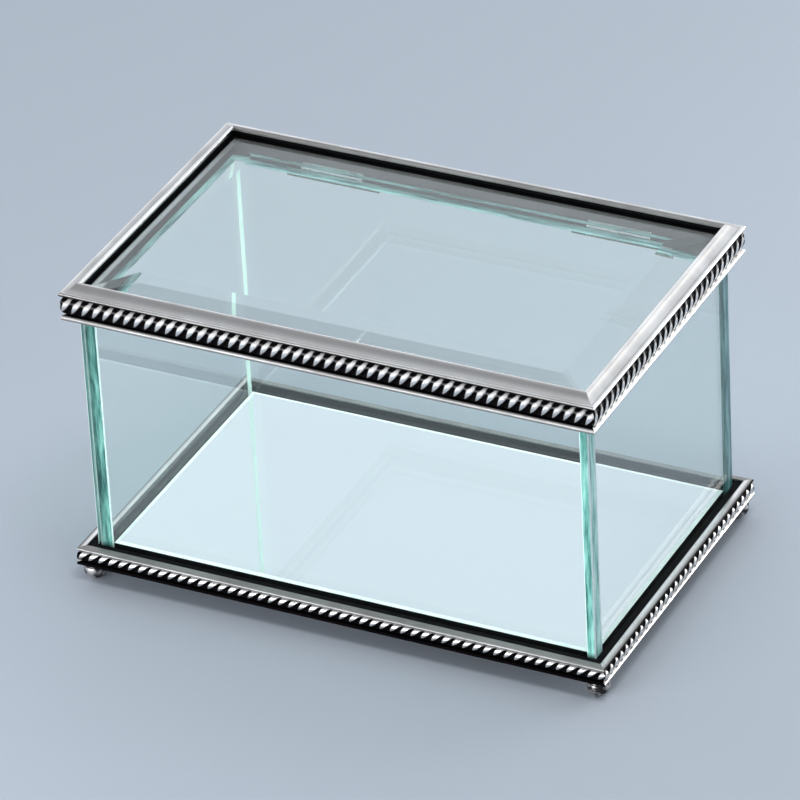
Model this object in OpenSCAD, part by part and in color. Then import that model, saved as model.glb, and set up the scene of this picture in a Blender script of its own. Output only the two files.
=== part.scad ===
// Glass casket box: four bonded glass walls on a mirror floor, in a rope-trimmed
// metal base frame on ball feet, under a hinged lid with a bevelled glass pane.
// Origin: on the table, under the middle of the box. +Z up, the front faces -Y.

/* [Glass walls] */
// Outside length of the glass box, left to right
glass_len = 190; // [120:1:300]
// Outside depth of the glass box, front to back
glass_dep = 116.4; // [80:0.2:200]
// Height of the walls above the mirror floor
wall_h = 91.4; // [50:0.2:160]
// Thickness of each wall pane
pane_t = 4.7; // [3:0.1:5]

/* [Mirror floor] */
// Thickness of the mirror
mirror_t = 3; // [2:0.1:3.4]
// Gap between the mirror's edge and the wall panes
mirror_gap = 0.2; // [0.1:0.05:0.6]
// Thickness of the board behind the mirror
board_t = 1.6; // [1:0.1:1.8]
// Thickness of the felt under the board
felt_t = 0.8; // [0.5:0.1:1]

/* [Base frame] */
// How far the base frame stands out past the glass, each side
base_out = 6; // [5:0.1:9]
// Height of the base rails
base_h = 7.2; // [6.8:0.1:9]
// Width of the lip's flat top, measured from the rope seat
base_lip_w = 0.9; // [0.7:0.05:1.2]
// How far the mirror's face lies below the lip
mirror_drop = 0.3; // [0.1:0.05:0.6]
// Depth of the rope's seat behind the base rails' outer faces
base_seat = 2.2; // [1.9:0.1:2.6]
// How far the shelf reaches under the mirror
shelf_in = 4; // [2:0.1:8]
// Clear height under the shelf
shelf_lift = 1; // [0.6:0.1:1.6]
// How far the dark bedding lies below the lip
bed_drop = 0.6; // [0.3:0.05:1]

/* [Lid frame] */
// How far the lid frame stands out past the glass, each side
lid_out = 4.8; // [4.6:0.1:7]
// Height of the lid rails' outer side
lid_side_h = 11.2; // [10.8:0.1:13.6]
// Width of the lid rails' sloping top
lid_top_w = 6; // [5.6:0.1:7.2]
// How far the crest stands above the outer fillet
crest_rise = 2.2; // [1.5:0.1:3]
// How hollow the sloping top is
slope_hollow = 0.35; // [0:0.05:0.5]
// Depth of the fine grooves beside the sloping top
groove = 0.25; // [0.1:0.05:0.4]
// Radius of the crest along the lid glass
crest_r = 0.7; // [0.5:0.05:0.8]
// Least metal over the edge of the lid glass
cap_t = 0.9; // [0.6:0.05:1]
// Depth of the rope's seat behind the lid rails' outer faces
lid_seat = 2.3; // [1.9:0.1:2.4]
// Metal between the rope's seat and the slot for the glass
web_t = 0.7; // [0.5:0.05:1]
// Height of the shelf that the lid glass lies on
lid_shelf_h = 7.8; // [6:0.1:8]
// How far that shelf reaches in past the outside of the walls
lid_shelf_in = 2.4; // [2:0.1:3]
// Gap between the lid rails and the tops of the walls
lid_gap = 0.7; // [0.5:0.05:1.2]

/* [Lid glass] */
// Thickness of the lid glass
lid_glass_t = 4; // [3:0.1:4.4]
// Thickness left at the edge of the bevel
bevel_edge_t = 2; // [1.2:0.1:2.4]
// Width of the bevel
bevel_w = 17; // [8:0.5:24]
// Thickness of the dark liner round the glass edge
liner_t = 0.5; // [0.3:0.05:0.6]
// How far the liner lies back from the rails' edges
liner_back = 0.15; // [0.1:0.05:0.3]
// Clearance between the lid glass and its liner
glass_fit = 0.1; // [0.05:0.05:0.2]

/* [Rope trim] */
// Lean of the strands from upright, in degrees
strand_lean = 30; // [15:1:40]
// Share of the pitch that a strand fills
strand_fill = 0.93; // [0.8:0.01:0.96]
// How far the strands stand off their seat along the rope's edges
strand_edge = 0.35; // [0.2:0.05:0.6]
// Depth of the flat-backed core that carries the strands
core_t = 1.15; // [0.8:0.05:1.3]
// Width of the bevels along the core
core_bevel = 0.5; // [0.3:0.05:0.7]
// Strands along a long lid rail
lid_long_strands = 50; // [30:1:60]
// Strands along a short lid rail
lid_short_strands = 29; // [18:1:36]
// Strands along a long base rail
base_long_strands = 52; // [30:1:60]
// Strands along a short base rail
base_short_strands = 31; // [18:1:36]
// Radius of the fillet bead below the base's rope
base_low_bead_r = 0.7; // [0.6:0.05:0.8]
// Radius of the fillet bead below the lid's rope
lid_low_bead_r = 1.1; // [0.8:0.05:1.2]
// Radius of the fillet bead above the lid's rope
lid_bead_r = 0.8; // [0.6:0.05:0.9]
// Radius of the lip's rounded outer edge above the base's rope
base_bead_r = 0.7; // [0.5:0.05:0.8]
// How far the ropes and lower fillets lie behind the rails' outer faces
bead_in = 0.2; // [0:0.05:0.4]

/* [Feet] */
// Diameter of the ball feet
foot_d = 8; // [6:0.1:10]
// Clear height under the base rails
foot_h = 6.5; // [5:0.1:7.5]
// Diameter of the flat that the ball rests on
foot_flat_d = 2.6; // [1.5:0.1:4]
// Diameter of the collar between the ball and the rail
collar_d = 6.2; // [5:0.1:8]
// Height of the collar
collar_h = 0.8; // [0.5:0.1:1.2]
// Distance from the frame's outer faces to the middle of a foot
foot_in = 4.8; // [4.2:0.1:8]
// Flat land left round a collar under the rails
foot_land = 0.5; // [0.2:0.1:1]

/* [Hinges] */
// Distance from the glass box's sides to the middle of a hinge
hinge_in = 40; // [24:1:48]
// Length of the knuckles of one hinge
knuckle_len = 24; // [18:1:32]
// Radius of a knuckle
knuckle_r = 1.4; // [1.2:0.05:1.5]
// Radius of a hinge pin
pin_r = 0.75; // [0.6:0.05:0.9]
// Running clearance round a pin
pin_fit = 0.04; // [0.03:0.01:0.08]
// Length of the leaf that is bonded over the back pane's top edge
wall_leaf_len = 36; // [30:1:44]
// How far that leaf reaches down the outside of the pane
wall_leaf_h = 3; // [2.4:0.1:8]
// Thickness of that leaf outside the pane
wall_leaf_t = 0.8; // [0.6:0.05:0.9]
// Thickness of its flange on the pane's top edge
flange_t = 0.35; // [0.2:0.05:0.4]
// How far the flange reaches in over the pane's top edge
flange_in = 2; // [1:0.1:2.8]
// Thickness of the leaf under the lid
lid_leaf_t = 0.9; // [0.8:0.05:1]
// Length of the middle knuckle
middle_knuckle = 9.6; // [6:0.2:12]
// Thickness of a pin's peened heads
head_t = 0.6; // [0.4:0.05:0.7]
// How far the heads stand out round a pin
head_over = 0.3; // [0.2:0.05:0.4]
// Drop from the lid rail's underside to the pin's middle
axis_drop = 0.3; // [0.2:0.05:0.4]
// Gap between the knuckles and what they turn past
hinge_gap = 0.3; // [0.2:0.05:0.5]

/* [Bumpers] */
// Diameter of the clear pads under the lid's front corners
pad_d = 2; // [1.4:0.1:2.4]
// Distance from the glass box's side to the middle of a pad
pad_in = 5; // [3:0.5:12]
// Clearance under a pad when the lid is shut
pad_fit = 0.1; // [0.05:0.05:0.2]

/* [Hidden] */
$fn = 32;
fine_steps = 48;
strand_steps = 24;
slope_steps = 4;
crest_steps = 6;

silver = [0.76, 0.75, 0.74];
pane_green = [0.62, 0.86, 0.82, 0.4];
liner_black = [0.06, 0.06, 0.07];

// Levels above the table
base_z = foot_h;
mirror_z = base_z + base_h - mirror_drop;
shelf_z = mirror_z - mirror_t;
wall_top = mirror_z + wall_h;
lid_z = wall_top + lid_gap;

// Outside sizes of the two frames
base_len = glass_len + 2 * base_out;
base_dep = glass_dep + 2 * base_out;
lid_len = glass_len + 2 * lid_out;
lid_dep = glass_dep + 2 * lid_out;

// Sections are drawn with x inward from the rail's outer face and y upward
base_lip_in = base_seat + base_lip_w;
base_rope_low = 2 * base_low_bead_r;
base_rope_top = base_h - 2 * base_bead_r;
shelf_y = shelf_z - base_z;
shelf_end = base_out + pane_t + shelf_in;
foot_land_in = foot_in + collar_d / 2 + foot_land;
board_edge = pane_t + shelf_in + mirror_gap;

crest_y = lid_side_h + crest_rise;
slope_foot = [2 * lid_bead_r, lid_side_h - groove];
slope_head = [lid_top_w - 2 * crest_r, crest_y - groove];
lid_rope_low = 2 * lid_low_bead_r;
lid_rope_top = lid_side_h - 2 * lid_bead_r;
lid_shelf_end = lid_out + lid_shelf_in;

// The slot that holds the liner and the edge of the lid glass
slot_in = lid_seat + web_t;
slot_top_in = crest_y - 2 * crest_r;
slot_top_out = slope_chord(slot_in) - slope_hollow - cap_t;
lid_glass_in = slot_in + liner_t + glass_fit;
lid_glass_y = lid_shelf_h + liner_t;

// Hinge axis, and how far the lid's leaves reach inward from it
hinge_span = glass_len - 2 * hinge_in;
axis_out = knuckle_r + hinge_gap;
axis_y = glass_dep / 2 + axis_out;
axis_z = lid_z - axis_drop;
lid_leaf_reach = axis_out + lid_shelf_in;
head_gap = 0.05;

// Strands run on past the rope's edges by this angle before they are cut off
strand_over = 12;
// Room left round a piece where a cut runs past it
spare = 1;

// Points on an arc round centre c, from angle a0 to a1
function arc(c, r, a0, a1, n = 8) =
    [for (i = [0 : n]) let (a = a0 + (a1 - a0) * i / n) c + r * [cos(a), sin(a)]];

// Frame sides: 0 front, 1 right, 2 back, 3 left. Local x runs along the rail,
// local y runs inward from its outer face.
module on_side(side, len, dep) {
    away = (side % 2 == 0) ? dep / 2 : len / 2;
    rotate([0, 0, 90 * side])
        translate([0, -away, 0])
            children();
}

// The space between the mitres of one rail, from its near to its far depth
module mitre_space(length, low, high, near, far) {
    translate([0, 0, low])
        linear_extrude(high - low)
            polygon([[near - length / 2, near], [length / 2 - near, near],
                     [length / 2 - far, far], [far - length / 2, far]]);
}

// A section carried along a rail and cut to its mitres, with some room all round
module mitred(length, section, high, deep) {
    intersection() {
        translate([-length / 2, 0, 0])
            rotate([90, 0, 90])
                linear_extrude(length)
                    polygon(section);
        mitre_space(length, -spare, high + spare, -spare, deep + spare);
    }
}

// ---- rope trim ----

// One strand: a round bar bent over the rope's half-round form, leaning sideways
module strand(r, bend_r, half_angle, lean) {
    rotate([0, lean - 90, 0])
        rotate([0, 0, 270 - half_angle])
            rotate_extrude(angle = 2 * half_angle)
                translate([bend_r, 0])
                    circle(r, $fn = strand_steps);
}

// A run of strands on a flat-backed core, mitred at its ends
module rope(length, count, low, high, seat) {
    pitch = length / count;
    r = strand_fill * pitch * cos(strand_lean) / 2;
    span = (high - low) / 2 / cos(strand_lean);
    rise = seat - bead_in - strand_edge;
    bend_r = (span * span + rise * rise) / (2 * rise);
    half_angle = asin(span / bend_r) + strand_over;
    middle = (low + high) / 2;
    core_in = seat - core_t;
    core = [[seat, low], [seat, high], [core_in + core_bevel, high],
            [core_in, high - core_bevel], [core_in, low + core_bevel],
            [core_in + core_bevel, low]];
    union() {
        mitred(length, core, high, seat);
        for (i = [0 : count - 1])
            intersection() {
                translate([(i - (count - 1) / 2) * pitch, bead_in + r + bend_r, middle])
                    strand(r, bend_r, half_angle, strand_lean);
                mitre_space(length, low, high, -spare, seat);
            }
    }
}

// ---- base frame ----

// Lower fillet, rope seat, rounded lip, then the shelf that carries glass and mirror
function base_section() = concat(
    arc([bead_in + base_low_bead_r, base_low_bead_r], base_low_bead_r, 270, 90),
    [[base_seat, base_rope_low], [base_seat, base_rope_top]],
    arc([2 * bead_in + base_bead_r, base_h - base_bead_r], base_bead_r, 270, 90),
    [[base_lip_in, base_h], [base_lip_in, shelf_y], [shelf_end, shelf_y],
     [shelf_end, shelf_lift], [foot_land_in, shelf_lift], [foot_land_in, 0]]
);

module base_rail(side) {
    length = (side % 2 == 0) ? base_len : base_dep;
    color(silver)
        translate([0, 0, base_z])
            on_side(side, base_len, base_dep)
                mitred(length, base_section(), base_h, shelf_end);
}

module base_rope(side) {
    length = (side % 2 == 0) ? base_len : base_dep;
    count = (side % 2 == 0) ? base_long_strands : base_short_strands;
    color(silver)
        translate([0, 0, base_z])
            on_side(side, base_len, base_dep)
                rope(length, count, base_rope_low, base_rope_top, base_seat);
}

// A rectangular ring between two outlines, each given by its inset from a frame
module ring(len, dep, inset_out, inset_in, low, high) {
    difference() {
        translate([-len / 2 + inset_out, -dep / 2 + inset_out, low])
            cube([len - 2 * inset_out, dep - 2 * inset_out, high - low]);
        translate([-len / 2 + inset_in, -dep / 2 + inset_in, low - spare])
            cube([len - 2 * inset_in, dep - 2 * inset_in, high - low + 2 * spare]);
    }
}

// Dark bedding between the lip and the feet of the wall panes
module base_bedding() {
    color(liner_black)
        ring(base_len, base_dep, base_lip_in, base_out, shelf_z, base_z + base_h - bed_drop);
}

// A flat plate centred on the box
module plate(len, dep, low, thick) {
    translate([-len / 2, -dep / 2, low])
        cube([len, dep, thick]);
}

module floor_mirror() {
    edge = pane_t + mirror_gap;
    color([0.86, 0.9, 0.92])
        plate(glass_len - 2 * edge, glass_dep - 2 * edge, shelf_z, mirror_t);
}

// Board and felt fill the opening between the shelves
module floor_board() {
    color([0.45, 0.36, 0.27])
        plate(glass_len - 2 * board_edge, glass_dep - 2 * board_edge, shelf_z - board_t, board_t);
}

module floor_felt() {
    color([0.08, 0.08, 0.1])
        plate(glass_len - 2 * board_edge, glass_dep - 2 * board_edge,
              shelf_z - board_t - felt_t, felt_t);
}

// ---- feet ----

// A ball with a small flat below, under a collar that meets the rail
module foot(sx, sy) {
    ball_r = foot_d / 2;
    ball_z = sqrt(ball_r * ball_r - foot_flat_d * foot_flat_d / 4);
    color(silver)
        translate([sx * (base_len / 2 - foot_in), sy * (base_dep / 2 - foot_in), 0])
            union() {
                intersection() {
                    translate([0, 0, ball_z])
                        sphere(ball_r, $fn = fine_steps);
                    cylinder(h = foot_h - collar_h / 2, r = ball_r + spare);
                }
                translate([0, 0, foot_h - collar_h])
                    cylinder(h = collar_h, d = collar_d, $fn = fine_steps);
            }
}

// ---- glass walls ----

// Front and back panes run the full length; the side panes stand between them
module long_pane(dir) {
    color(pane_green)
        translate([-glass_len / 2, dir * (glass_dep - pane_t) / 2 - pane_t / 2, shelf_z])
            cube([glass_len, pane_t, wall_top - shelf_z]);
}

module short_pane(dir) {
    depth = glass_dep - 2 * pane_t;
    color(pane_green)
        translate([dir * (glass_len - pane_t) / 2 - pane_t / 2, -depth / 2, shelf_z])
            cube([pane_t, depth, wall_top - shelf_z]);
}

// ---- hinges ----

// A round bar along x, centred on the hinge axis
module along_x(length, r) {
    rotate([0, 90, 0])
        translate([0, 0, -length / 2])
            cylinder(h = length, r = r, $fn = fine_steps);
}

module at_hinge(dir) {
    translate([dir * hinge_span / 2, axis_y, axis_z])
        children();
}

// Leaf hooked over the back pane's top edge, with the two outer knuckles
module hinge_leaf(dir) {
    outer = (knuckle_len - middle_knuckle) / 2 - hinge_gap;
    leaf_top = wall_top - axis_z;
    color(silver)
        at_hinge(dir)
            difference() {
                union() {
                    difference() {
                        union() {
                            translate([-wall_leaf_len / 2, -axis_out, leaf_top - wall_leaf_h])
                                cube([wall_leaf_len, wall_leaf_t, wall_leaf_h + flange_t]);
                            translate([-wall_leaf_len / 2, -axis_out - flange_in, leaf_top])
                                cube([wall_leaf_len, flange_in + wall_leaf_t, flange_t]);
                        }
                        along_x(middle_knuckle + 2 * hinge_gap, knuckle_r + hinge_gap);
                    }
                    for (end = [-1, 1])
                        translate([end * (knuckle_len - outer) / 2, 0, 0])
                            outer_knuckle(outer);
                }
                along_x(2 * knuckle_len, pin_r + pin_fit);
                at_heads()
                    along_x(head_t + 2 * head_gap, pin_r + head_over + hinge_gap);
            }
}

// An outer knuckle and the foot that joins it to the leaf
module outer_knuckle(length) {
    along_x(length, knuckle_r);
    translate([-length / 2, -axis_out, -knuckle_r])
        cube([length, wall_leaf_t, knuckle_r]);
}

module at_heads() {
    for (end = [-1, 1])
        translate([end * (knuckle_len / 2 + head_gap + head_t / 2), 0, 0])
            children();
}

// Pin with a peened head at each end
module hinge_pin(dir) {
    color([0.7, 0.7, 0.68])
        at_hinge(dir)
            union() {
                along_x(knuckle_len + head_t, pin_r);
                at_heads()
                    along_x(head_t, pin_r + head_over);
            }
}

// Plate let into the lid's back rail, and the knuckle that it is rolled into
module lid_leaf(dir) {
    color(silver)
        at_hinge(dir)
            difference() {
                union() {
                    translate([-knuckle_len / 2, -lid_leaf_reach, knuckle_r - lid_leaf_t])
                        cube([knuckle_len, lid_leaf_reach - axis_out, lid_leaf_t]);
                    translate([-middle_knuckle / 2, -lid_leaf_reach, knuckle_r - lid_leaf_t])
                        cube([middle_knuckle, lid_leaf_reach, lid_leaf_t]);
                    along_x(middle_knuckle, knuckle_r);
                }
                along_x(2 * knuckle_len, pin_r + pin_fit);
            }
}

// Pockets in the back rail: one for the plate, one for the knuckles and pin heads
module hinge_pockets() {
    knuckle_room = knuckle_len + 2 * (head_gap + head_t + hinge_gap);
    for (dir = [-1, 1])
        at_hinge(dir) {
            translate([-knuckle_len / 2, -lid_leaf_reach - spare, -axis_drop - spare])
                cube([knuckle_len, lid_leaf_reach + spare, knuckle_r + axis_drop + spare]);
            translate([-knuckle_room / 2, -axis_out, -axis_drop - spare])
                cube([knuckle_room, axis_out + lid_out, axis_out + axis_drop + spare]);
        }
}

// ---- lid ----

// Height of the straight line from the foot to the head of the sloping top
function slope_chord(x) =
    let (run = slope_head - slope_foot)
    slope_foot[1] + (x - slope_foot[0]) * run[1] / run[0];

// The sloping top is slightly hollow: t runs from its foot to its head
function slope_point(t) =
    slope_foot + (slope_head - slope_foot) * t - [0, slope_hollow * sin(180 * t)];

// Height of the slot's ceiling, which falls outward under the sloping top
function slot_ceiling(x) =
    slot_top_out + (x - slot_in) * (slot_top_in - slot_top_out) / (lid_top_w - slot_in);

// Lower fillet, rope seat, upper fillet, sloping top, crest, slot and shelf
function lid_section() = concat(
    arc([bead_in + lid_low_bead_r, lid_low_bead_r], lid_low_bead_r, 270, 90),
    [[lid_seat, lid_rope_low], [lid_seat, lid_rope_top]],
    arc([lid_bead_r, lid_side_h - lid_bead_r], lid_bead_r, 270, 60),
    [for (i = [0 : slope_steps]) slope_point(i / slope_steps)],
    arc([lid_top_w - crest_r, crest_y - crest_r], crest_r, 120, 0, crest_steps),
    [[lid_top_w, slot_top_in], [slot_in, slot_top_out], [slot_in, lid_shelf_h],
     [lid_shelf_end, lid_shelf_h], [lid_shelf_end, 0]]
);

module lid_rail(side) {
    length = (side % 2 == 0) ? lid_len : lid_dep;
    color(silver)
        difference() {
            translate([0, 0, lid_z])
                on_side(side, lid_len, lid_dep)
                    mitred(length, lid_section(), crest_y, lid_shelf_end);
            if (side == 2)
                hinge_pockets();
        }
}

module lid_rope(side) {
    length = (side % 2 == 0) ? lid_len : lid_dep;
    count = (side % 2 == 0) ? lid_long_strands : lid_short_strands;
    color(silver)
        translate([0, 0, lid_z])
            on_side(side, lid_len, lid_dep)
                rope(length, count, lid_rope_low, lid_rope_top, lid_seat);
}

// Top of the bevel, at a distance inward from the lid's outer face
function bevel_top(x) =
    lid_glass_y + bevel_edge_t + (x - lid_glass_in) * (lid_glass_t - bevel_edge_t) / bevel_w;

// A plate whose four edges are thinner than its middle, with mitred slopes
module hipped_plate(len, dep, edge_t, slope_w, full_t) {
    intersection() {
        hipped_bar(len, dep, edge_t, slope_w, full_t);
        rotate([0, 0, 90])
            hipped_bar(dep, len, edge_t, slope_w, full_t);
    }
}

module hipped_bar(width, length, edge_t, slope_w, full_t) {
    rotate([90, 0, 0])
        translate([0, 0, -length / 2])
            linear_extrude(length)
                polygon([[-width / 2, 0], [width / 2, 0], [width / 2, edge_t],
                         [width / 2 - slope_w, full_t], [-width / 2 + slope_w, full_t],
                         [-width / 2, edge_t]]);
}

// Dark liner that fills the slot and wraps the edge of the lid glass
module lid_liner() {
    wall = slot_in + liner_t;
    top_end = lid_top_w - liner_back;
    pocket_top = bevel_top(top_end) + glass_fit;
    color(liner_black)
        translate([0, 0, lid_z])
            difference() {
                translate([0, 0, lid_shelf_h])
                    hipped_plate(lid_len - 2 * slot_in, lid_dep - 2 * slot_in,
                                 slot_top_out - lid_shelf_h, top_end - slot_in,
                                 slot_ceiling(top_end) - lid_shelf_h);
                translate([0, 0, lid_glass_y])
                    hipped_plate(lid_len - 2 * wall, lid_dep - 2 * wall,
                                 bevel_top(wall) + glass_fit - lid_glass_y, top_end - wall,
                                 pocket_top - lid_glass_y);
                inset_box(lid_shelf_end - liner_back, lid_shelf_h - spare, pocket_top);
                inset_box(top_end, lid_glass_y, crest_y);
            }
}

// A box inside the lid frame's outline
module inset_box(inset, low, high) {
    translate([-lid_len / 2 + inset, -lid_dep / 2 + inset, low])
        cube([lid_len - 2 * inset, lid_dep - 2 * inset, high - low]);
}

module lid_glass() {
    color(pane_green)
        translate([0, 0, lid_z + lid_glass_y])
            hipped_plate(lid_len - 2 * lid_glass_in, lid_dep - 2 * lid_glass_in,
                         bevel_edge_t, bevel_w, lid_glass_t);
}

// Clear pads under the front rail, above the front pane
module lid_bumpers() {
    color([0.9, 0.93, 0.95, 0.6])
        for (dir = [-1, 1])
            translate([dir * (glass_len / 2 - pad_in), -(glass_dep - lid_shelf_in) / 2, wall_top + pad_fit])
                cylinder(h = lid_gap - pad_fit, d = pad_d);
}

base_rail(0);  // base_rail_front
base_rail(1);  // base_rail_right
base_rail(2);  // base_rail_back
base_rail(3);  // base_rail_left
base_rope(0);  // base_rope_front
base_rope(1);  // base_rope_right
base_rope(2);  // base_rope_back
base_rope(3);  // base_rope_left
base_bedding();
floor_mirror();
floor_board();
floor_felt();
foot(-1, -1);  // foot_front_left
foot(1, -1);  // foot_front_right
foot(-1, 1);  // foot_back_left
foot(1, 1);  // foot_back_right
long_pane(-1);  // glass_front
long_pane(1);  // glass_back
short_pane(-1);  // glass_left
short_pane(1);  // glass_right
hinge_leaf(-1);  // hinge_leaf_left
hinge_leaf(1);  // hinge_leaf_right
hinge_pin(-1);  // hinge_pin_left
hinge_pin(1);  // hinge_pin_right
lid_rail(0);  // lid_rail_front
lid_rail(1);  // lid_rail_right
lid_rail(2);  // lid_rail_back
lid_rail(3);  // lid_rail_left
lid_rope(0);  // lid_rope_front
lid_rope(1);  // lid_rope_right
lid_rope(2);  // lid_rope_back
lid_rope(3);  // lid_rope_left
lid_liner();
lid_glass();
lid_leaf(-1);  // lid_leaf_left
lid_leaf(1);  // lid_leaf_right
lid_bumpers();
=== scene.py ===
import math

import bpy
import numpy as np
from mathutils import Matrix, Vector


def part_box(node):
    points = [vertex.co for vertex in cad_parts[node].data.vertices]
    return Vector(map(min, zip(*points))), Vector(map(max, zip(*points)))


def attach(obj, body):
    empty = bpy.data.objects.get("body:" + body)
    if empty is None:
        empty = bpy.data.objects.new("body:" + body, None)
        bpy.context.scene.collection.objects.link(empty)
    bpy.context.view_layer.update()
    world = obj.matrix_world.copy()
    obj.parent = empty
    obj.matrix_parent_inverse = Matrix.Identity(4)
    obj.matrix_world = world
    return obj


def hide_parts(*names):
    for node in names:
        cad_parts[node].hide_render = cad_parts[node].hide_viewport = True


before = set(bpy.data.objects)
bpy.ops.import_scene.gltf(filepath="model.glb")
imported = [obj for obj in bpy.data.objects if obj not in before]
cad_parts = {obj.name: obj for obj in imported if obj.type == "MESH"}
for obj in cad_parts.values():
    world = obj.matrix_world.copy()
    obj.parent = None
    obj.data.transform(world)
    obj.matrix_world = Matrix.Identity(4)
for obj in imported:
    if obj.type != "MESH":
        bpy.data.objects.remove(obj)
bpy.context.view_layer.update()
print("stage: frame loaded")

mm = 0.001
sides = ("front", "right", "back", "left")  # each a quarter turn on from the one before


def joinBox(*nodes):
    # the box round several CAD nodes: lowest of their low corners, highest of their high corners
    lows, highs = zip(*(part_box(n) for n in nodes))
    return np.min(np.array(lows), axis=0), np.max(np.array(highs), axis=0)


def signedVolume(points, faces):
    # sum over each face's fan of triangles of a . (b x c) / 6, positive when faces point outwards
    total = 0.0
    for face in faces:
        p = points[np.array(face)]
        first = np.broadcast_to(p[0], p[1:-1].shape)
        total += np.einsum("ij,ij->i", first, np.cross(p[1:-1], p[2:])).sum()
    return total / 6


def addPiece(name, points, faces, body, mats, nodes, matIndex=None, sharpAngle=35, tones=None):
    # makes the mesh, turns its faces outwards, and lets it ride in place of its CAD nodes
    if signedVolume(points, faces) < 0:
        faces = [f[::-1] for f in faces]
    mesh = bpy.data.meshes.new(name)
    mesh.from_pydata(points.tolist(), [], faces)
    for m in mats:
        mesh.materials.append(m)
    if matIndex is not None:
        mesh.polygons.foreach_set("material_index", np.asarray(matIndex, np.int32))
    for key, values in (tones or {}).items():
        layer = mesh.attributes.new(key, "FLOAT", "POINT")
        layer.data.foreach_set("value", np.asarray(values, np.float32))
    mesh.update()
    mesh.shade_smooth()
    mesh.set_sharp_from_angle(angle=math.radians(sharpAngle))
    piece = bpy.data.objects.new(name, mesh)
    bpy.context.scene.collection.objects.link(piece)
    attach(piece, body)
    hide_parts(*nodes)
    return piece


def tubeFaces(rows, cols):
    # quads between neighbouring points of a rows x cols grid whose columns wrap round, and its two caps
    r = np.arange(rows - 1)[:, None]
    c = np.arange(cols)[None, :]
    nextC = (c + 1) % cols
    quads = np.stack(np.broadcast_arrays(r * cols + c, r * cols + nextC,
                                         (r + 1) * cols + nextC, (r + 1) * cols + c), axis=-1)
    caps = [list(range(cols))[::-1], list(range((rows - 1) * cols, rows * cols))]
    return quads.reshape(-1, 4).tolist() + caps


def arc(cx, cy, r, a0, a1, n):
    # n points at radius r round (cx, cy) from angle a0 to a1 in degrees
    a = np.radians(np.linspace(a0, a1, n))
    return np.stack([cx + r * np.cos(a), cy + r * np.sin(a)], axis=1)


def turnToSide(points, side, length, depth):
    # local (x along, y inward from the outer face, z up) turned a quarter turn for each side
    away = (depth if side % 2 == 0 else length) / 2
    x, y, z = points[:, 0], points[:, 1] - away, points[:, 2]
    c, s = ((1, 0), (0, 1), (-1, 0), (0, -1))[side]
    return np.stack([c * x - s * y, s * x + c * y, z], axis=1)


def newMaterial(name):
    # an empty node tree with its output
    mat = bpy.data.materials.new(name)
    mat.use_nodes = True
    tree = mat.node_tree
    tree.nodes.clear()
    out = tree.nodes.new("ShaderNodeOutputMaterial")
    return mat, tree, out


def node(tree, kind, **values):
    # a new node with its sockets or settings filled in, where an underscore stands for a socket's space
    made = tree.nodes.new(kind)
    for key, value in values.items():
        socket = key.replace("_", " ")
        if socket in made.inputs:
            made.inputs[socket].default_value = value
        else:
            setattr(made, key, value)
    return made


def objectNoise(tree, scale, detail, stretch=(1, 1, 1), rough=0.5):
    # noise on the piece's own coordinates, each multiplied by its stretch
    coord = node(tree, "ShaderNodeTexCoord")
    mapping = node(tree, "ShaderNodeMapping", Scale=stretch)
    noise = node(tree, "ShaderNodeTexNoise", Scale=scale, Detail=detail, Roughness=rough)
    tree.links.new(coord.outputs["Object"], mapping.inputs["Vector"])
    tree.links.new(mapping.outputs["Vector"], noise.inputs["Vector"])
    return noise.outputs["Fac"]


def colourRamp(tree, source, stops):
    # a colour ramp over the source, from (place, colour) pairs
    made = node(tree, "ShaderNodeValToRGB")
    while len(made.color_ramp.elements) < len(stops):
        made.color_ramp.elements.new(0.5)
    for element, (place, colour) in zip(made.color_ramp.elements, stops):
        element.position = place
        element.color = (*colour, 1)
    tree.links.new(source, made.inputs["Fac"])
    return made.outputs["Color"]


def greyRamp(tree, source, stops):
    # the same from (place, brightness) pairs
    return colourRamp(tree, source, [(place, (value,) * 3) for place, value in stops])


def mixColour(tree, factor, source, colour):
    # goes from the source's colour to a plain one with the factor; a Mix node's colours are its sockets
    # 6 and 7, and their blend is its output 2
    mix = node(tree, "ShaderNodeMix", data_type="RGBA")
    tree.links.new(factor, mix.inputs["Factor"])
    tree.links.new(source, mix.inputs[6])
    mix.inputs[7].default_value = (*colour, 1)
    return mix.outputs[2]


def addBump(tree, height, shader, strength, deep):
    # a relief from the height socket, as deep as asked in metres
    bump = node(tree, "ShaderNodeBump", Strength=strength, Distance=deep)
    tree.links.new(height, bump.inputs["Height"])
    tree.links.new(bump.outputs["Normal"], shader.inputs["Normal"])


silver = {
    "cloudScale": 70.0, "toneStops": ((0.3, (0.62, 0.60, 0.59)), (0.62, (0.82, 0.81, 0.80))),
    # the patina colour on the next line is black, laid on for patina and for painted shade alike
    "roughStops": ((0.3, 0.34), (0.7, 0.20)), "patinaAndShade": (0.006, 0.005, 0.006), "patinaAndShadeRough": 0.75,
    "grainScale": 2600.0, "bump": 0.05, "bumpDeep": 0.0001,
    # how much black lies at places on the scale of the attribute (patina in the hollows and painted
    # shade), of the noise (patina) and of the way inside out (darker towards the inner face)
    "shadeAndTarnishStops": ((0.15, 0.0), (0.75, 1.0)),
    "blotchScale": 420.0, "blotchStops": ((0.42, 0.93), (0.60, 0.05)),
    "insideStops": ((0.02, 0.9), (0.1, 0.6), (0.95, 0.55), (1.0, 0.0)),
}


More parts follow.
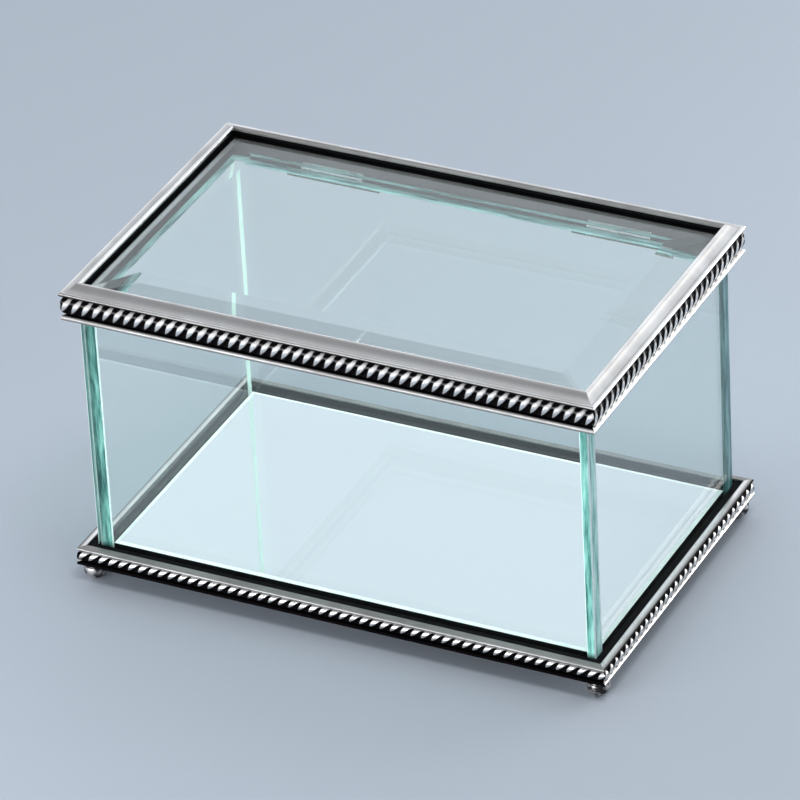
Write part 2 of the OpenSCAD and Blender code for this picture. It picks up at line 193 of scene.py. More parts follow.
def silverMaterial(name, blotches=False, darkInside=None):
    # satin plate: clouded tarnish over bright metal, fine grain, black from the attribute (patina in the
    # hollows and painted shade), in blotches of patina, or darker from the first of two places along Y
    # (darkest) to the second (none)
    mat, tree, out = newMaterial(name)
    shader = node(tree, "ShaderNodeBsdfPrincipled", Metallic=1.0)
    cloud = objectNoise(tree, silver["cloudScale"], 5.0)
    colour = colourRamp(tree, cloud, silver["toneStops"])
    rough = greyRamp(tree, cloud, silver["roughStops"])
    if blotches:
        dark = greyRamp(tree, objectNoise(tree, silver["blotchScale"], 3.0), silver["blotchStops"])
    elif darkInside:
        coord = node(tree, "ShaderNodeTexCoord")
        split = node(tree, "ShaderNodeSeparateXYZ")
        spot = node(tree, "ShaderNodeMapRange")
        spot.inputs["From Min"].default_value, spot.inputs["From Max"].default_value = darkInside
        tree.links.new(coord.outputs["Object"], split.inputs["Vector"])
        tree.links.new(split.outputs["Y"], spot.inputs["Value"])
        dark = greyRamp(tree, spot.outputs["Result"], silver["insideStops"])
    else:
        # the attribute lays on patina in the hollows and painted shade
        shadeAndTarnish = node(tree, "ShaderNodeAttribute", attribute_name="shadeAndTarnish")
        dark = greyRamp(tree, shadeAndTarnish.outputs["Fac"], silver["shadeAndTarnishStops"])
    tree.links.new(mixColour(tree, dark, colour, silver["patinaAndShade"]), shader.inputs["Base Color"])
    tree.links.new(mixColour(tree, dark, rough, (silver["patinaAndShadeRough"],) * 3), shader.inputs["Roughness"])
    grain = objectNoise(tree, silver["grainScale"], 2.0)
    addBump(tree, grain, shader, silver["bump"], silver["bumpDeep"])
    tree.links.new(shader.outputs["BSDF"], out.inputs["Surface"])
    return mat


glass = {
    "faceTint": (0.965, 0.995, 0.985), "shadowTint": (0.93, 0.98, 0.965), "ior": 1.5,
    "body": (0.42, 0.86, 0.74), "density": 9.0,
    # edge and dim tones: painted light over the aqua of the edges, streaked like light running inside the
    # glass; the dim ones are a darker copy painted as shade
    "edgeDark": (0.07, 0.27, 0.26), "edgeMid": (0.31, 0.61, 0.59), "edgeBright": (0.62, 0.86, 0.85),
    "dimDark": (0.03, 0.12, 0.13), "dimMid": (0.12, 0.27, 0.29), "dimBright": (0.25, 0.45, 0.46),
    "edgePlaces": (0.39, 0.50, 0.64), "edgeRough": 0.3, "edgeClear": 0.2,
    "streakScale": 700.0, "streakStretch": 0.09, "streakRough": 0.62,
    # arris and pale: painted glints, near-white aqua where ground edges seem to catch the lamps
    "arris": (0.80, 0.98, 0.97), "pale": (0.90, 0.98, 0.99),
}


def glassFaceMaterial(name):
    # clear float glass that lets the lamps through, with a green body colour along long paths
    mat, tree, out = newMaterial(name)
    shader = node(tree, "ShaderNodeBsdfPrincipled", Roughness=0.0, IOR=glass["ior"])
    shader.inputs["Base Color"].default_value = (*glass["faceTint"], 1)
    shader.inputs["Transmission Weight"].default_value = 1.0
    clear = node(tree, "ShaderNodeBsdfTransparent")
    clear.inputs["Color"].default_value = (*glass["shadowTint"], 1)
    path = node(tree, "ShaderNodeLightPath")
    mix = node(tree, "ShaderNodeMixShader")
    tree.links.new(path.outputs["Is Shadow Ray"], mix.inputs["Fac"])
    tree.links.new(shader.outputs["BSDF"], mix.inputs[1])
    tree.links.new(clear.outputs["BSDF"], mix.inputs[2])
    tree.links.new(mix.outputs["Shader"], out.inputs["Surface"])
    depth = node(tree, "ShaderNodeVolumeAbsorption", Density=glass["density"])
    depth.inputs["Color"].default_value = (*glass["body"], 1)
    tree.links.new(depth.outputs["Volume"], out.inputs["Volume"])
    return mat


def glassEdgeMaterial(name, along, tones=("edgeDark", "edgeMid", "edgeBright")):
    # ground edge: aqua glass with streaks drawn out along one axis; the streaks and their light and dark
    # tones are painted reflections and painted shade of light running inside the glass
    mat, tree, out = newMaterial(name)
    stretch = [1.0, 1.0, 1.0]
    stretch[along] = glass["streakStretch"]
    streaks = objectNoise(tree, glass["streakScale"], 5.0, stretch, glass["streakRough"])
    stops = [(place, glass[tone]) for place, tone in zip(glass["edgePlaces"], tones)]
    shader = node(tree, "ShaderNodeBsdfPrincipled", Roughness=glass["edgeRough"], IOR=glass["ior"])
    shader.inputs["Transmission Weight"].default_value = glass["edgeClear"]
    tree.links.new(colourRamp(tree, streaks, stops), shader.inputs["Base Color"])
    tree.links.new(shader.outputs["BSDF"], out.inputs["Surface"])
    return mat


plainBumpDeep = 0.0002  # metres


def plainMaterial(name, colour, roughness, metallic=0.0, noiseScale=900.0, spread=0.25, bump=0.1,
                  gloss=0.5):
    # one finish with a fine mottled surface, its colour spread a little darker and lighter
    mat, tree, out = newMaterial(name)
    noise = objectNoise(tree, noiseScale, 4.0)
    low = tuple(c * (1 - spread) for c in colour)
    high = tuple(min(1, c * (1 + spread)) for c in colour)
    shader = node(tree, "ShaderNodeBsdfPrincipled", Metallic=metallic, Roughness=roughness)
    shader.inputs["Specular IOR Level"].default_value = gloss
    tree.links.new(colourRamp(tree, noise, [(0.3, low), (0.7, high)]), shader.inputs["Base Color"])
    addBump(tree, noise, shader, bump, plainBumpDeep)
    tree.links.new(shader.outputs["BSDF"], out.inputs["Surface"])
    return mat


mirrorLook = {
    "dustScale": 900.0, "roughStops": ((0.45, 0.015), (0.75, 0.06)),
    "toneStops": ((0.4, (0.93, 0.945, 0.96)), (0.75, (0.95, 0.96, 0.975))),
}


def mirrorMaterial(name):
    # silvered glass: a cool tinted mirror with the faintest dust
    mat, tree, out = newMaterial(name)
    shader = node(tree, "ShaderNodeBsdfPrincipled", Metallic=1.0)
    dust = objectNoise(tree, mirrorLook["dustScale"], 6.0, rough=0.7)
    tree.links.new(greyRamp(tree, dust, mirrorLook["roughStops"]), shader.inputs["Roughness"])
    tree.links.new(colourRamp(tree, dust, mirrorLook["toneStops"]), shader.inputs["Base Color"])
    tree.links.new(shader.outputs["BSDF"], out.inputs["Surface"])
    return mat


railSilver = silverMaterial("railSilver")
ropeSilver = silverMaterial("ropeSilver")
footSilver = silverMaterial("footSilver", blotches=True)
wallFace = glassFaceMaterial("wallGlassFace")
lidFace = glassFaceMaterial("lidGlassFace")
# glass edges with painted light and shade; dim and the long and short top edges take the darker tones
uprightEdge = glassEdgeMaterial("glassEdgeUpright", 2)
dimEdge = glassEdgeMaterial("glassEdgeDim", 2, ("dimDark", "dimMid", "dimBright"))
longEdge = glassEdgeMaterial("glassEdgeLong", 0, ("dimDark", "dimBright", "edgeMid"))
shortEdge = glassEdgeMaterial("glassEdgeShort", 1, ("dimDark", "dimBright", "edgeMid"))
# painted glint: the ground arrises drawn near-white aqua as if catching the lamps
arrisGlintGlass = plainMaterial("arrisGlintGlass", glass["arris"], 0.25, noiseScale=500.0, spread=0.12, bump=0.2)
# painted highlight: pale edges drawn near white as if lit by the lamps
paleGlintEdge = plainMaterial("paleGlintGlassEdge", glass["pale"], 0.3, noiseScale=500.0, spread=0.06, bump=0.2)
mirrorFace = mirrorMaterial("floorMirrorFace")
blackLiner = plainMaterial("blackLiner", (0.004, 0.004, 0.005), 0.8, bump=0.15, gloss=0.1)
hardboard = plainMaterial("hardboard", (0.30, 0.215, 0.14), 0.75, noiseScale=600.0, spread=0.35,
                          bump=0.25)
blackFelt = plainMaterial("blackFelt", (0.02, 0.02, 0.024), 0.95, noiseScale=1500.0, spread=0.6,
                          bump=0.8)
pinSteel = plainMaterial("pinSteel", (0.62, 0.62, 0.60), 0.25, 1.0, noiseScale=400.0, spread=0.08,
                         bump=0.05)
clearPad = plainMaterial("clearPad", (0.86, 0.91, 0.92), 0.2, noiseScale=300.0, spread=0.03, bump=0.03)
print("stage: materials made")


railStations = 9  # cross sections along a rail


def railPiece(name, side, outline, level, profile, body, nodes):
    # profile point (u, y, dark) is drawn out from -1 to 1 as t: it lies at x = t (length / 2 - u), inward
    # by u and up by y, so both ends are mitred, and dark is its patina and painted shade
    length, depth = outline
    along = length if side % 2 == 0 else depth
    u, y, dark = profile.T
    t = np.linspace(-1, 1, railStations)[:, None]
    local = np.stack(np.broadcast_arrays(t * (along / 2 - u), u, level + y), axis=-1)
    points = turnToSide(local.reshape(-1, 3), side, length, depth)
    faces = tubeFaces(railStations, u.size)
    return addPiece(name, points, faces, body, [railSilver], nodes, sharpAngle=28,
                    tones={"shadeAndTarnish": np.tile(dark, railStations)})


def withTone(points, tone):
    # points in mm made metres, with the patina and painted shade as a third column, one number or one for
    # each point
    return np.column_stack([np.asarray(points, float) * mm, np.broadcast_to(tone, len(points))])


def patinaAndShade(points, places, tones):
    # the tone of each point, on straight lines between the tones at the given point numbers
    return np.interp(np.arange(len(points)), places, tones)


beadPoints, filletPoints, slopePoints, crestPoints = 13, 14, 9, 10  # along the curves of a rail's section

# lengths in mm, inward from the outer face and up from the lower one, angles in degrees; of each table of
# patina and painted shade the first is for the long sides and the second for the short ones, which take
# the light differently
lidRail = {
    "sideHigh": 11.2, "crestHigh": 13.39, "topWide": 6.0, "hollow": 0.35, "groove": 0.25,
    "lowBead": 1.1, "highBead": 0.8, "crest": 0.7, "beadIn": 0.2, "seat": 2.3,
    "filletEnd": 62, "crestStart": 120,
    "slotIn": 3.0, "slotLow": 7.8, "slotOut": 10.72, "shelfEnd": 7.2, "shelfSteps": (0.65, 0.45),
    # the dark tables are patina in the hollows and painted shade: the fillet's lower part is dimmed to
    # move its highlight up and dim it, and the low bead is darker on the long sides than on the short
    # ones
    "beadDark": ((0.6, 0.44, 0.44, 1), (0.8, 0, 0, 0.3)),
    "filletDark": ((1, 0.85, 0.6, 0.2, 0.25), (1, 0.7, 0, 0, 0.3)),
    "slopeDark": ((0.35, 0.19, 0.19, 0.3), (0.35, 0.27, 0.27, 0.3)),
    "slotDark": (0, 0.5, 0.5, 0.3, 0.45, 0.9, 1),
}


def lidRailProfile(s, side):
    # lower fillet, rope seat, upper fillet, slope hollowed by half a sine wave, crest, slot for the glass
    # and the shelf under it, each a run of points round the section
    t = np.linspace(0, 1, slopePoints)
    foot = np.array([2 * s["highBead"], s["sideHigh"] - s["groove"]])
    head = np.array([s["topWide"] - 2 * s["crest"], s["crestHigh"] - s["groove"]])
    slope = foot + (head - foot) * t[:, None] - np.stack([0 * t, s["hollow"] * np.sin(math.pi * t)], 1)
    low = arc(s["beadIn"] + s["lowBead"], s["lowBead"], s["lowBead"], 270, 90, beadPoints)
    seat = [[s["seat"], 2 * s["lowBead"]], [s["seat"], s["sideHigh"] - 2 * s["highBead"]]]
    high = arc(s["highBead"], s["sideHigh"] - s["highBead"], s["highBead"], 270, s["filletEnd"],
               filletPoints)
    crest = arc(s["topWide"] - s["crest"], s["crestHigh"] - s["crest"], s["crest"], s["crestStart"], 0,
                crestPoints)
    slot = [[s["topWide"], s["crestHigh"] - 2 * s["crest"]],
            [s["slotIn"], s["slotOut"]], [s["slotIn"], s["slotLow"]], [s["shelfEnd"], s["slotLow"]],
            *([s["shelfEnd"], step * s["slotLow"]] for step in s["shelfSteps"]), [s["shelfEnd"], 0]]
    # patina and painted shade of each run of points
    lowDark = patinaAndShade(low, [0, 2, 9, 12], s["beadDark"][side % 2])
    highDark = patinaAndShade(high, [0, 4, 6, 9, 13], s["filletDark"][side % 2])
    slopeDark = patinaAndShade(slope, [0, 1, 7, 8], s["slopeDark"][side % 2])
    return np.concatenate([withTone(low, lowDark), withTone(seat, 1), withTone(high, highDark),
                           withTone(slope, slopeDark), withTone(crest, 0),
                           withTone(slot, s["slotDark"])])[::-1]


baseRail = {
    "high": 7.2, "lipWide": 0.9, "crown": 2.7, "lowBead": 0.7, "lipBead": 0.7, "beadIn": 0.2, "seat": 2.2,
    "shelfHigh": 3.9, "shelfEnd": 14.7, "shelfLift": 1.0, "landEnd": 8.4,
    # the dark tables are patina and painted shade: the long sides' low bead is painted black for the
    # shadow under the rail, the lip is darkened to dim its highlight, black on the short sides' lower
    # half, and the lip's inner wall and the shelf under the glass are dark
    "beadDark": ((1, 0.95, 0.95, 1), (1, 0.55, 0.1, 0.1)),
    "lipDark": ((0.55, 0.35, 0.4, 0.5, 0.5), (1, 1, 1, 0.5, 0)),
    "shelfDark": (0.5, 1, 1, 0, 0, 0),
}


def baseRailProfile(s, side):
    # lower fillet, rope seat, rounded lip, then the shelf under the glass and mirror, round the section
    low = arc(s["beadIn"] + s["lowBead"], s["lowBead"], s["lowBead"], 270, 90, beadPoints)
    seat = [[s["seat"], 2 * s["lowBead"]], [s["seat"], s["high"] - 2 * s["lipBead"]]]
    lip = arc(2 * s["beadIn"] + s["lipBead"], s["high"] - s["lipBead"], s["lipBead"], 270, 90,
              beadPoints)
    lipEnd = s["seat"] + s["lipWide"]
    # the crown runs on inward, so the bead's upper quarter is drawn out to the crown's width
    mid = beadPoints // 2
    outer = lip[mid, 0]
    lip[mid + 1:, 0] = outer + (lip[mid + 1:, 0] - outer) * (s["crown"] - outer) / s["lipBead"]
    shelf = [[lipEnd, s["high"]], [lipEnd, s["shelfHigh"]], [s["shelfEnd"], s["shelfHigh"]],
             [s["shelfEnd"], s["shelfLift"]], [s["landEnd"], s["shelfLift"]], [s["landEnd"], 0]]
    # patina and painted shade of each run of points
    lowDark = patinaAndShade(low, [0, 5, 8, 12], s["beadDark"][side % 2])
    lipDark = patinaAndShade(lip, [0, 3, 6, 9, 12], s["lipDark"][side % 2])
    return np.concatenate([withTone(low, lowDark), withTone(seat, 1), withTone(lip, lipDark),
                           withTone(shelf, s["shelfDark"])])[::-1]


lidLow, lidHigh = joinBox(*("lid_rail_" + s for s in sides))
baseLow, baseHigh = joinBox(*("base_rail_" + s for s in sides))
lidOutline = (lidHigh - lidLow)[:2]
baseOutline = (baseHigh - baseLow)[:2] + 2 * baseRail["beadIn"] * mm

for i, sideName in enumerate(sides):
    if sideName != "back":  # the back lid rail keeps the CAD node's hinge pockets
        railPiece("lidRail_" + sideName, i, lidOutline, lidLow[2], lidRailProfile(lidRail, i), "lid",
                  ["lid_rail_" + sideName])
    railPiece("baseRail_" + sideName, i, baseOutline, baseLow[2], baseRailProfile(baseRail, i), "casket",
              ["base_rail_" + sideName])
print("stage: rails made")


ropeForm = {
    "round": 23, "perStrand": 16,  # points round the half round and along one strand
    "ridge": 3,  # the higher, the flatter a strand's top and the tighter the gaps
    # of the relief: the square of what is left where the rope meets its seat, what is lost at the
    # shoulder, and what also draws a point towards the rope's middle height
    "seatRelief": 0.15, "closing": 0.85, "rise": 0.25,
    # width of the soft edge of the patina and painted shade in half strands, and their amount at the end
    # of the bright share
    "patinaAndShadeSoft": 0.3, "patinaAndShadeStart": 0.15,
    # heights up the rope, from -1 to 1, at which the tables below are given
    "ups": (-1, -0.6, -0.3, 0, 0.15, 0.3, 0.45, 0.58, 0.7, 0.86, 1),
}
# low, high, seat, front and relief in mm; twist: how many strands on the rope's upper edge lies from its
# middle; shoulder: height up the rope at which the gaps nearly close, and how far from there; share: how
# much of a strand is bright; least and most: patina and painted shade on its ridge and in the gap beside
# it; each pair is for the long sides and for the short ones, apart from shoulder; share, least and most
# paint shade over the lower part of the long sides' strands and the upper part of the short sides'
lidRope = {
    "low": 2.2, "high": 9.6, "seat": 2.3, "front": 0.2, "counts": (50, 29), "twist": (0.85, 0.3),
    "relief": 1.15, "shoulder": (0.45, 0.12),
    "share": ((-0.3, 0.0, 0.2, 0.36, 0.42, 0.45, 0.45, 0.35, 0.25, 0.25, 0.25),
              (0.62, 0.5, 0.42, 0.38, 0.34, 0.2, 0.1, 0.1, 0.1, 0.1, 0.1)),
    "least": ((0, 0, 0, 0, 0.1, 0.35, 0.48, 0.48, 0.48, 0.48, 0.48),
              (0, 0, 0, 0, 0.1, 0.35, 0.55, 0.6, 0.6, 0.6, 0.6)),
    "most": ((1, 1, 1, 1, 0.9, 0.68, 0.62, 0.8, 1, 1, 1), (1,) * 11),
}
baseRope = {
    "low": 1.4, "high": 5.8, "seat": 2.2, "front": 0.2, "counts": (52, 31), "twist": (0.75, 0.25),
    "relief": 1.0, "shoulder": (0.9, 0.12),
    "share": ((-0.3, -0.25, 0.05, 0.26, 0.33, 0.38, 0.42, 0.45, 0.5, 0.6, 0.6),
              (0.55, 0.62, 0.66, 0.66, 0.62, 0.52, 0.36, 0.15, 0.0, 0.0, 0.0)),
    "least": ((0, 0, 0, 0, 0, 0, 0, 0.1, 0.2, 0.35, 0.35), (0, 0, 0, 0, 0, 0, 0, 0.1, 0.25, 0.3, 0.3)),
    "most": ((1, 1, 1, 1, 1, 1, 1, 0.9, 0.75, 0.6, 0.6), (1,) * 11),
}


def ropePiece(name, side, outline, level, s, body, nodes):
    # strands wound over a half round: at angle a round the rope and place x along it, the strand's
    # phase is x / pitch - twist * a / 90 deg, and the surface sinks by the relief between the strands
    form = ropeForm
    length, depth = outline
    along = length if side % 2 == 0 else depth
    count = s["counts"][side % 2]
    pitch = along / count
    a = np.radians(np.linspace(-90, 90, form["round"]))[None, :]
    t = np.linspace(-1, 1, form["perStrand"] * count + 1)[:, None]
    middle, half = (s["low"] + s["high"]) / 2, (s["high"] - s["low"]) / 2
    bulge = (s["seat"] - s["front"]) * np.cos(a)
    x = t * (along / 2 - (s["seat"] - bulge) * mm)
    phase = x / pitch - s["twist"][side % 2] * a / (math.pi / 2) + 0.5 * (count % 2 == 0)
    off = 2 * (phase - np.round(phase))  # -1 to 1 across a strand
    bump = np.sqrt(np.clip(1 - np.abs(off) ** form["ridge"], 0, 1))
    up = np.sin(a)
    closed = np.exp(-((up - s["shoulder"][0]) / s["shoulder"][1]) ** 2)  # the gaps nearly close here
    seated = np.sqrt(np.cos(a) * (1 - form["seatRelief"]) + form["seatRelief"])
    sink = s["relief"] * (1 - bump) * seated * (1 - form["closing"] * closed)
    u = s["seat"] - bulge + sink * np.cos(a)
    z = middle + (half - form["rise"] * sink) * up
    # patina in the gaps and painted shade, heavy low on the long sides and high on the short ones
    share, least, most = (np.interp(up, form["ups"], s[key][side % 2])
                          for key in ("share", "least", "most"))
    shadeAndTarnish = (np.abs(off) - share) / form["patinaAndShadeSoft"] + form["patinaAndShadeStart"]
    shadeAndTarnish = np.clip(np.clip(shadeAndTarnish, 0, 1), least, most)
    local = np.stack(np.broadcast_arrays(x, u * mm, level + z * mm), axis=-1)
    points = turnToSide(local.reshape(-1, 3), side, length, depth)
    return addPiece(name, points, tubeFaces(*shadeAndTarnish.shape), body, [ropeSilver], nodes,
                    sharpAngle=70, tones={"shadeAndTarnish": shadeAndTarnish.ravel()})


for i, sideName in enumerate(sides):
    ropePiece("lidRope_" + sideName, i, lidOutline, lidLow[2], lidRope, "lid", ["lid_rope_" + sideName])
    ropePiece("baseRope_" + sideName, i, baseOutline, baseLow[2], baseRope, "casket",
              ["base_rope_" + sideName])
print("stage: ropes made")


def platePiece(name, low, high, axis, profile, mats, body, nodes, bands):
    # profile points (inset, height through the thickness); ring k is the rectangle inset by its inset;
    # bands gives the material of each band of faces between rings, one for all four sides or one for each
    low, high = np.array(low, float), np.array(high, float)
    others = [i for i in range(3) if i != axis]
    inset, rise = profile[:, 0:1], profile[:, 1:2]
    signs = np.array([[-1, -1], [1, -1], [1, 1], [-1, 1]])
    centre = (low + high) / 2
    half = (high - low) / 2
    points = np.zeros((len(profile), 4, 3))
    for j, o in enumerate(others):
        points[:, :, o] = centre[o] + signs[:, j][None, :] * (half[o] - inset)
    points[:, :, axis] = low[axis] + rise
    index = np.concatenate([np.broadcast_to(finish, 4) for finish in bands] + [[0, 0]])
    return addPiece(name, points.reshape(-1, 3), tubeFaces(len(profile), 4), body, mats, nodes,
                    matIndex=index, sharpAngle=3)


def seamedProfile(thick, seam):
    # square edge with its two arrises ground off
    return np.array([[seam, 0], [0, seam], [0, thick - seam], [seam, thick]]) * mm


wallPane = {
    "seam": 0.45,
    "finishesAndPaintedLight": ("face", "upright", "bedded", "top", "arris", "pale", "dim"),
    # the finish of each pane's end towards +X or +Y and of its other end, with painted light: pale a
    # painted highlight, dim painted shade, upright the painted streaks of the edge, arris a painted glint
    "ends": {"front": ("upright", "upright"), "back": ("dim", "pale"), "left": ("pale", "upright"),
             "right": ("dim", "upright")},
}
for sideName, (highEnd, lowEnd) in wallPane["ends"].items():
    low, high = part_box("glass_" + sideName)
    axis = 1 if sideName in ("front", "back") else 0
    thick = (high - low)[axis] / mm
    flat = ["bedded", highEnd, "top", lowEnd]  # the foot stands in the bedding, the top lies flat
    arris = ["arris" if f == "upright" else f for f in flat]
    flat, arris = ([wallPane["finishesAndPaintedLight"].index(f) for f in band] for band in (flat, arris))
    topEdge = longEdge if axis == 1 else shortEdge
    platePiece("wallGlass_" + sideName, low, high, axis, seamedProfile(thick, wallPane["seam"]),
               [wallFace, uprightEdge, blackLiner, topEdge, arrisGlintGlass, paleGlintEdge, dimEdge],
               "casket", ["glass_" + sideName], [arris, flat, arris])

lidPane = {"edge": 2.0, "bevel": 17.0, "seam": 0.3}
low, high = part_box("lid_glass")
thick = (high - low)[2] / mm
lidEdge = np.array([[lidPane["seam"], 0], [0, lidPane["seam"]], [0, lidPane["edge"]],
                    [lidPane["bevel"], thick]]) * mm
platePiece("lidGlass", low, high, 2, lidEdge, [lidFace, longEdge], "lid", ["lid_glass"],
           [1, 1, 0])

# the mirror's upper arris takes the painted pale highlight
mirrorPlate = {"seam": 0.3, "arrisWide": 1.5}
low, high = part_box("floor_mirror")
thick = (high - low)[2] / mm
mirrorEdge = seamedProfile(thick, mirrorPlate["seam"])
mirrorEdge[-1, 0] = mirrorPlate["arrisWide"] * mm  # the upper arris is the wide one
platePiece("floorMirror", low, high, 2, mirrorEdge, [mirrorFace, blackLiner, paleGlintEdge], "casket",
           ["floor_mirror"], [1, 1, 2])
print("stage: glass made")


# radii of the ball, its flat, the collar and the neck in mm, the degrees of ball left out at the neck,
# and how many points go along the curves and round the foot
foot = {
    "ball": 4.0, "flat": 1.3, "collar": 3.1, "collarHigh": 0.8, "neck": 2.5, "neckGap": 6,
    "ballPoints": 26, "edgePoints": 9, "around": 48,
}


def footPiece(name, nodeName):
    # radii and heights of a ball cut flat below, a neck and a round-edged collar, turned round the middle
    low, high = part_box(nodeName)
    cx, cy = (low[0] + high[0]) / 2, (low[1] + high[1]) / 2
    r = foot["ball"]
    ballMid = math.sqrt(r * r - foot["flat"] ** 2)
    top = (high[2] - low[2]) / mm
    neckLow = top - foot["collarHigh"]
    startAngle = -math.degrees(math.acos(foot["flat"] / r))
    endAngle = math.degrees(math.asin((neckLow - ballMid) / r)) - foot["neckGap"]
    ball = arc(0, ballMid, r, startAngle, endAngle, foot["ballPoints"])
    edge = foot["collarHigh"] / 2
    collar = arc(foot["collar"] - edge, top - edge, edge, -90, 90, foot["edgePoints"])
    profile = np.concatenate([ball, [[foot["neck"], neckLow]], collar])
    turn = np.linspace(0, 2 * math.pi, foot["around"], endpoint=False)[None, :]
    radius, z = profile[:, 0:1] * mm, profile[:, 1:2] * mm
    rings = np.stack(np.broadcast_arrays(cx + radius * np.cos(turn), cy + radius * np.sin(turn),
                                         low[2] + z), axis=-1)
    return addPiece(name, rings.reshape(-1, 3), tubeFaces(*rings.shape[:2]), "casket",
                    [footSilver], [nodeName])


for end in ("front_left", "front_right", "back_left", "back_right"):
    footPiece("ballFoot_" + end, "foot_" + end)
print("stage: feet made")


def finishNode(nodeName, mat):
    # puts the material on every slot of a CAD node, on the object and not on its mesh
    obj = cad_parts[nodeName]
    if not obj.material_slots:
        obj.data.materials.append(mat)
    for s in obj.material_slots:
        s.link = "OBJECT"
        s.material = mat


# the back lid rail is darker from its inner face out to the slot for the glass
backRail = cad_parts["lid_rail_back"]
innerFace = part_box("lid_rail_back")[0][1] - backRail.matrix_world.translation[1]
slotWide = (lidRail["shelfEnd"] - lidRail["slotIn"]) * mm
backRailSilver = silverMaterial("backRailSilver", darkInside=(innerFace - 0.1 * mm, innerFace + slotWide))

keptFinishes = {
    "lid_rail_back": backRailSilver, "base_bedding": blackLiner, "lid_liner": blackLiner,
    "floor_board": hardboard, "floor_felt": blackFelt, "lid_bumpers": clearPad,
    "hinge_leaf_left": railSilver, "hinge_leaf_right": railSilver,
    "lid_leaf_left": railSilver, "lid_leaf_right": railSilver,
    "hinge_pin_left": pinSteel, "hinge_pin_right": pinSteel,
}
for nodeName, mat in keptFinishes.items():
    finishNode(nodeName, mat)
print("stage: CAD nodes finished")


floorLook = {"size": 8.0, "colour": (0.46, 0.51, 0.58)}
mesh = bpy.data.meshes.new("studioFloor")
h = floorLook["size"] / 2
mesh.from_pydata([(-h, -h, 0), (h, -h, 0), (h, h, 0), (-h, h, 0)], [], [(0, 1, 2, 3)])
mesh.materials.append(plainMaterial("paleFloor", floorLook["colour"], 0.9, noiseScale=3.0, spread=0.01,
                                    bump=0.0))
studioFloor = bpy.data.objects.new("studioFloor", mesh)
bpy.context.scene.collection.objects.link(studioFloor)

# the world goes from its front to its back colour along a leaning axis, and is plain where it is seen
skyLook = {
    "back": (0.70, 0.74, 0.78), "front": (0.12, 0.125, 0.135), "pale": (0.46, 0.51, 0.58),
    "axis": (-0.1, 0.85, 0.35), "span": (-0.6, 0.9),
}
world = bpy.data.worlds.new("studioWorld")
world.use_nodes = True
tree = world.node_tree
tree.nodes.clear()
out = tree.nodes.new("ShaderNodeOutputWorld")
coord = node(tree, "ShaderNodeTexCoord")
lean = node(tree, "ShaderNodeVectorMath", operation="DOT_PRODUCT")
lean.inputs[1].default_value = skyLook["axis"]
tree.links.new(coord.outputs["Generated"], lean.inputs[0])
spreadMap = node(tree, "ShaderNodeMapRange")
spreadMap.inputs["From Min"].default_value, spreadMap.inputs["From Max"].default_value = skyLook["span"]
tree.links.new(lean.outputs["Value"], spreadMap.inputs["Value"])
shade = colourRamp(tree, spreadMap.outputs["Result"], [(0.0, skyLook["front"]), (1.0, skyLook["back"])])
path = node(tree, "ShaderNodeLightPath")
seen = node(tree, "ShaderNodeMath", operation="MAXIMUM")
tree.links.new(path.outputs["Is Camera Ray"], seen.inputs[0])
tree.links.new(path.outputs["Is Transmission Ray"], seen.inputs[1])
background = node(tree, "ShaderNodeBackground", Strength=1.0)
tree.links.new(mixColour(tree, seen.outputs["Value"], shade, skyLook["pale"]), background.inputs["Color"])
tree.links.new(background.outputs["Background"], out.inputs["Surface"])
bpy.context.scene.world = world

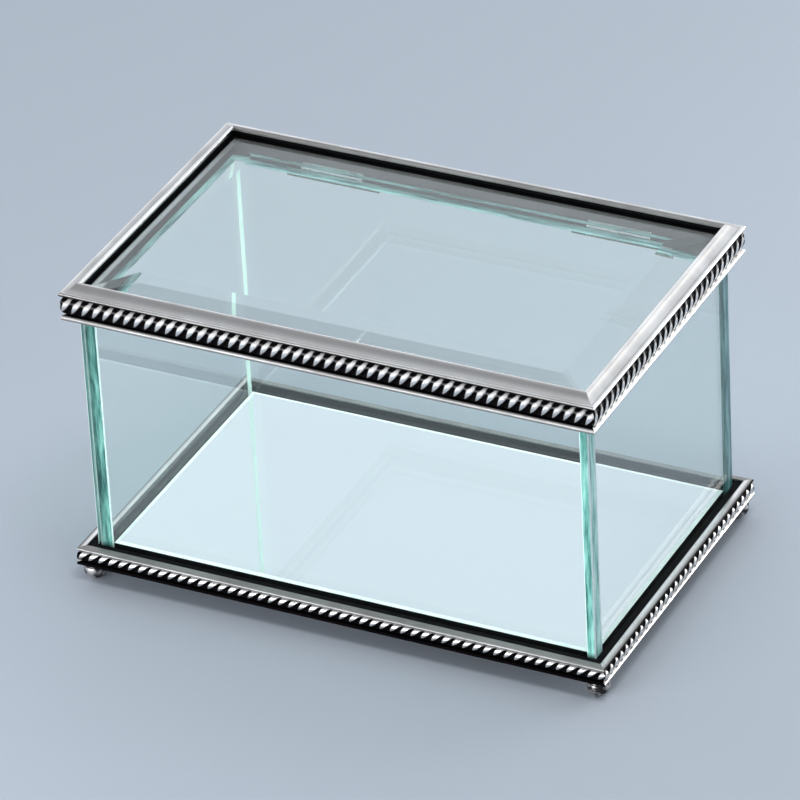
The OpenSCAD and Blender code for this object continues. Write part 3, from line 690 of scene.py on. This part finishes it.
lamps = [
    # name, place, aim, width, height, watts, colour
    ("backSoftbox", (-0.45, 1.0, 0.86), (0.0, 0.0, 0.06), 3.0, 1.5, 6.4, (0.90, 0.94, 1.0)),
    ("rightSoftbox", (0.95, 0.75, 0.75), (0.0, 0.0, 0.05), 0.7, 0.7, 1.1, (1.0, 0.99, 0.97)),
    ("rightLowSoftbox", (0.85, 1.0, 0.22), (0.0, 0.0, 0.05), 0.6, 0.4, 1.7, (1.0, 0.99, 0.97)),
    ("rightNearSoftbox", (0.42, 0.50, 0.09), (0.1, 0.0, 0.09), 0.4, 0.16, 1.6, (1.0, 0.99, 0.97)),
    ("frontSoftbox", (-0.50, -1.05, 0.22), (0.0, 0.0, 0.06), 1.0, 0.42, 6.5, (0.98, 0.99, 1.0)),
    ("frontNearSoftbox", (-0.20, -0.48, 0.10), (0.0, 0.0, 0.08), 0.4, 0.18, 0.8, (0.98, 0.99, 1.0)),
    ("topFill", (0.35, -0.25, 1.6), (0.0, 0.0, 0.0), 0.6, 0.6, 7.5, (1.0, 1.0, 1.0)),
]
for name, place, aim, wide, tall, watts, colour in lamps:
    lamp = bpy.data.lights.new(name, "AREA")
    lamp.shape = "RECTANGLE"
    lamp.size, lamp.size_y = wide, tall
    lamp.energy = watts
    lamp.color = colour
    holder = bpy.data.objects.new(name, lamp)
    holder.location = place
    holder.rotation_euler = (Vector(place) - Vector(aim)).to_track_quat("Z", "Y").to_euler()
    bpy.context.scene.collection.objects.link(holder)

# camera: the direction back to it, its distance, roll and focal length, fitted to the frames' corners
view = {
    "azimuth": 27.41, "elevation": 31.963, "distance": 2.21819, "roll": -0.05423,
    "target": (-0.00404, 0.0, 0.05917), "lens": 289.02, "sensor": 36.0, "clip": (0.05, 30.0),
}
az, el = math.radians(view["azimuth"]), math.radians(view["elevation"])
back = Vector((math.sin(az) * math.cos(el), -math.cos(az) * math.cos(el), math.sin(el)))
right = (-back).cross(Vector((0, 0, 1))).normalized()
up = right.cross(-back)
roll = view["roll"]
rolledRight = right * math.cos(roll) + up * math.sin(roll)
rolledUp = up * math.cos(roll) - right * math.sin(roll)
camData = bpy.data.cameras.new("photoCamera")
camData.sensor_width = view["sensor"]
camData.lens = view["lens"]
camData.clip_start, camData.clip_end = view["clip"]
camera = bpy.data.objects.new("photoCamera", camData)
camera.matrix_world = Matrix.Translation(Vector(view["target"]) + back * view["distance"]) @ Matrix(
    (rolledRight, rolledUp, back)).transposed().to_4x4()
bpy.context.scene.collection.objects.link(camera)
bpy.context.scene.camera = camera
bpy.context.scene.view_settings.view_transform = "Standard"
print("stage: camera and light made")
